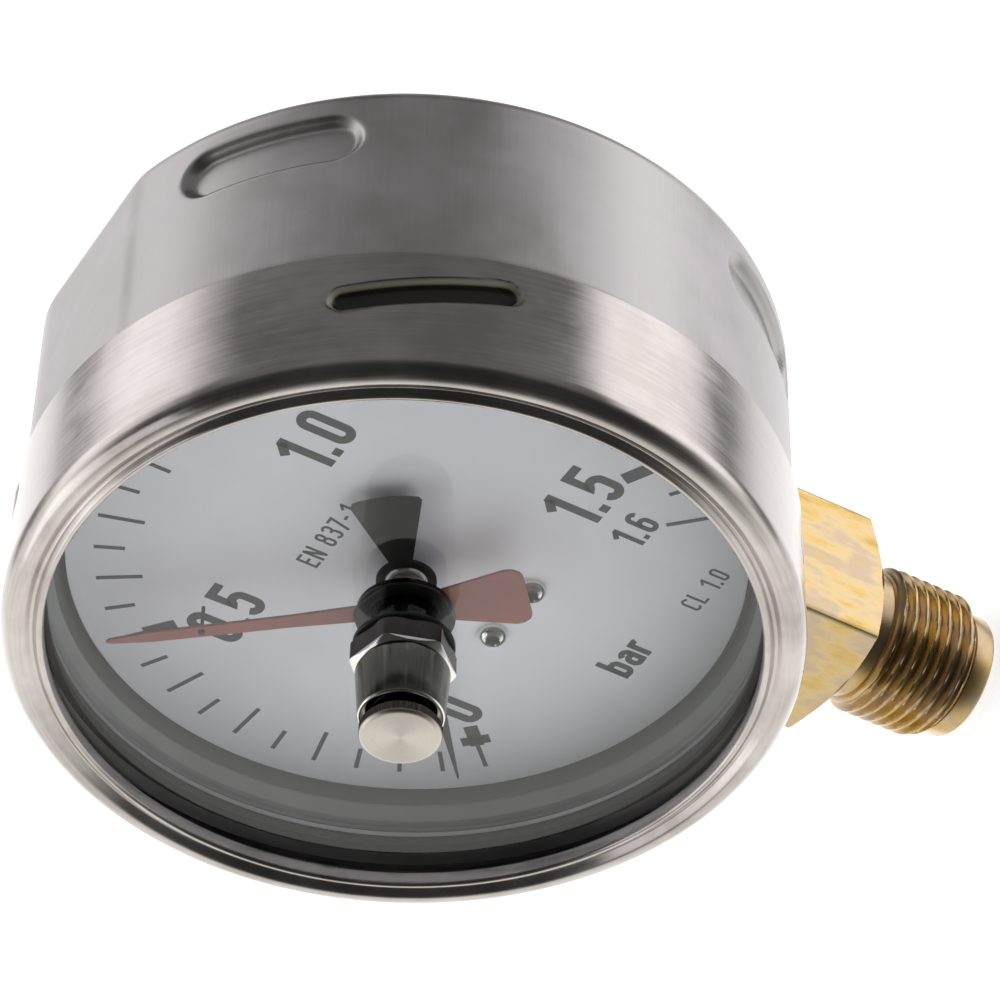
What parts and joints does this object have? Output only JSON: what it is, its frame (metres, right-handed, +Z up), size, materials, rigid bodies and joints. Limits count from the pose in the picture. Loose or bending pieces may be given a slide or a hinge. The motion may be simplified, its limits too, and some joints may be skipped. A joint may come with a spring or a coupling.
{
  "type": "pressure gauge",
  "caption": "Round Bourdon-tube pressure gauge with a bayonet-ring case, a bottom threaded connection, a 270 degree dial and a drag pointer set by a knob on the window.",
  "frame": {"origin": "middle of the lower end of the threaded connection, on the connection's axis", "axes": "+Z up along the connection's axis towards the dial, -Y the way the dial faces, +X to the right as the dial is read"},
  "size_m": [0.101, 0.0657, 0.1375],
  "materials": {
    "case_steel": "fine brushed stainless steel",
    "steel": "bright turned steel",
    "dark_steel": "polished",
    "satin_steel": "satin, turned face",
    "brass": "raw drawn brass",
    "copper_alloy": "drawn copper alloy",
    "rubber": "matte",
    "grey_plastic": "matte grey",
    "window": "clear",
    "dial_white": "matte white with black scale",
    "pointer_black": "matte black",
    "pointer_red": "matte red"
  },
  "bodies": {
    "housing": {"stem": "brass", "restrictor_screw": "steel", "stem_seal": "rubber", "case_stud_left": "steel", "case_stud_right": "steel", "case_nut_left": "steel", "case_nut_right": "steel", "case_spacer_left": "steel", "case_spacer_right": "steel", "case_shell": "case_steel", "blowout_plug": "rubber", "window_gasket": "rubber", "window_pane": "window", "support_ring": "grey_plastic", "friction_spring": "dark_steel", "cone_sleeve": "dark_steel", "hex_nut": "dark_steel", "window_bushing": "dark_steel", "outer_washer": "rubber", "inner_washer": "rubber", "bourdon_tube": "copper_alloy", "movement_back_plate": "brass", "movement_front_plate": "brass", "movement_post_1": "brass", "movement_post_2": "brass", "movement_post_3": "brass", "plate_screw_1": "steel", "plate_screw_2": "steel", "plate_screw_3": "steel", "movement_screw_1": "steel", "movement_screw_2": "steel", "hairspring": "copper_alloy", "hairspring_stud": "brass", "dial_plate": "dial_white", "dial_pillar_left": "brass", "dial_pillar_right": "brass", "dial_screw_left": "steel", "dial_screw_right": "steel"},
    "ring": {"bayonet_ring": "case_steel"},
    "pointer": {"pinion": "steel", "hairspring_collet": "brass", "instrument_pointer": "pointer_black", "pointer_hub": "steel"},
    "sector": {"sector_gear": "brass", "sector_arbor": "steel"},
    "tube_end": {"tube_end_piece": "brass", "tip_pin": "steel"},
    "link": {"link_bar": "brass", "tail_pin": "steel"},
    "drag": {"knob_disc": "satin_steel", "drag_shaft": "steel", "drag_pointer": "pointer_red", "drag_hub": "steel", "driver_pin": "pointer_red"}
  },
  "joints": [
    {"name": "ring_unlock", "type": "hinge", "parent": "housing", "child": "ring", "pos_m": [0, -0.027, 0.087], "axis": [0, 1, 0], "range_deg": [-29, 0]},
    {"name": "drag_pointer_turn", "type": "hinge", "parent": "housing", "child": "drag", "pos_m": [0, -0.0286, 0.087], "axis": [0, 1, 0], "range_deg": [-94.5, 175.5]},
    {"name": "sector_swing", "type": "hinge", "parent": "housing", "child": "sector", "pos_m": [0.012, -0.0128, 0.07125], "axis": [0, 1, 0], "range_deg": [-26.48, 0.52], "stiffness_Nm_per_rad": 0.02},
    {"name": "pointer_turn", "type": "hinge", "parent": "housing", "child": "pointer", "pos_m": [0, -0.0128, 0.087], "axis": [0, 1, 0], "range_deg": [-5.2, 264.8]},
    {"name": "tube_end_swing", "type": "hinge", "parent": "housing", "child": "tube_end", "pos_m": [0.0006, -0.0115, 0.10645], "axis": [0, 1, 0], "range_deg": [-5.9, 0.12], "deforming": ["bourdon_tube"]},
    {"name": "link_swing", "type": "hinge", "parent": "tube_end", "child": "link", "pos_m": [0.02573, -0.0115, 0.06912], "axis": [0, 1, 0], "range_deg": [-0.11, 5.2]}
  ],
  "couplings": [
    {"joint": "pointer_turn", "follows": "sector_swing", "ratio": -10},
    {"joint": "tube_end_swing", "follows": "sector_swing", "ratio": 0.2213},
    {"joint": "link_swing", "follows": "sector_swing", "ratio": -0.1957}
  ]
}
